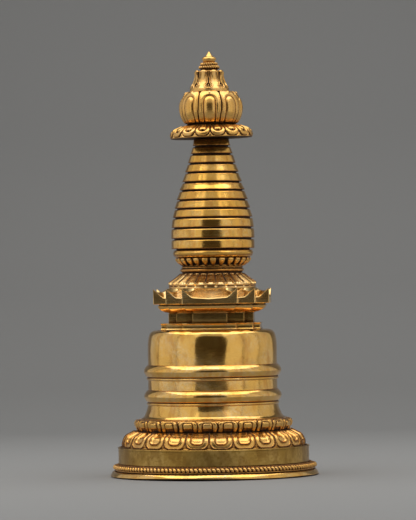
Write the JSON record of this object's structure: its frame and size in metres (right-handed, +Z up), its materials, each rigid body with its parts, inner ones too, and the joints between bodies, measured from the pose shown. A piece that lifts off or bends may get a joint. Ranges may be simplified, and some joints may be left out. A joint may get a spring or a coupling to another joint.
{
  "type": "votive stupa statuette",
  "caption": "Tall gilt metal votive stupa: bell dome on a double lotus and beaded foot, horned harmika, ringed spire, petalled canopy, lotus bud and jewel finial.",
  "frame": {"origin": "centre of the foot, on the surface the stupa stands on", "axes": "+Z up along the spire, -Y the front, parallel to one side of the square harmika, +X to the viewer's right"},
  "size_m": [0.185, 0.185, 0.375],
  "materials": {
    "gilt_polished": "fire-gilt copper, worn smooth and bright on the open surfaces",
    "gilt_chased": "fire-gilt copper, chased relief with dark residue in the hollows",
    "gilt_brushed": "thin gilding gone olive and dull, fine horizontal scratches",
    "copper_plate": "plain hammered sheet copper"
  },
  "bodies": {
    "root": {"base_plate": "copper_plate", "foot_flange": "gilt_polished", "bead_moulding": "gilt_chased", "plinth_band": "gilt_brushed", "lower_lotus": "gilt_chased", "upper_lotus": "gilt_chased", "dome": "gilt_polished", "lower_hoop": "gilt_polished", "upper_hoop": "gilt_polished", "harmika_slab": "gilt_polished", "harmika_block": "gilt_polished", "harmika_cornice": "gilt_polished", "harmika_crown": "gilt_polished", "spire_lotus_skirt": "gilt_chased", "spire_neck_ring": "gilt_chased", "spire_lotus_cup": "gilt_chased", "spire_core": "gilt_chased", "spire_ring_01": "gilt_polished", "spire_ring_02": "gilt_polished", "spire_ring_03": "gilt_polished", "spire_ring_04": "gilt_polished", "spire_ring_05": "gilt_polished", "spire_ring_06": "gilt_polished", "spire_ring_07": "gilt_polished", "spire_ring_08": "gilt_polished", "spire_ring_09": "gilt_polished", "spire_ring_10": "gilt_polished", "spire_ring_11": "gilt_polished", "spire_ring_12": "gilt_polished", "spire_ring_13": "gilt_polished", "canopy": "gilt_chased", "lotus_bud": "gilt_chased", "bellflower": "gilt_chased", "lower_collar": "gilt_chased", "upper_collar": "gilt_chased", "jewel": "gilt_chased"}
  },
  "joints": []
}
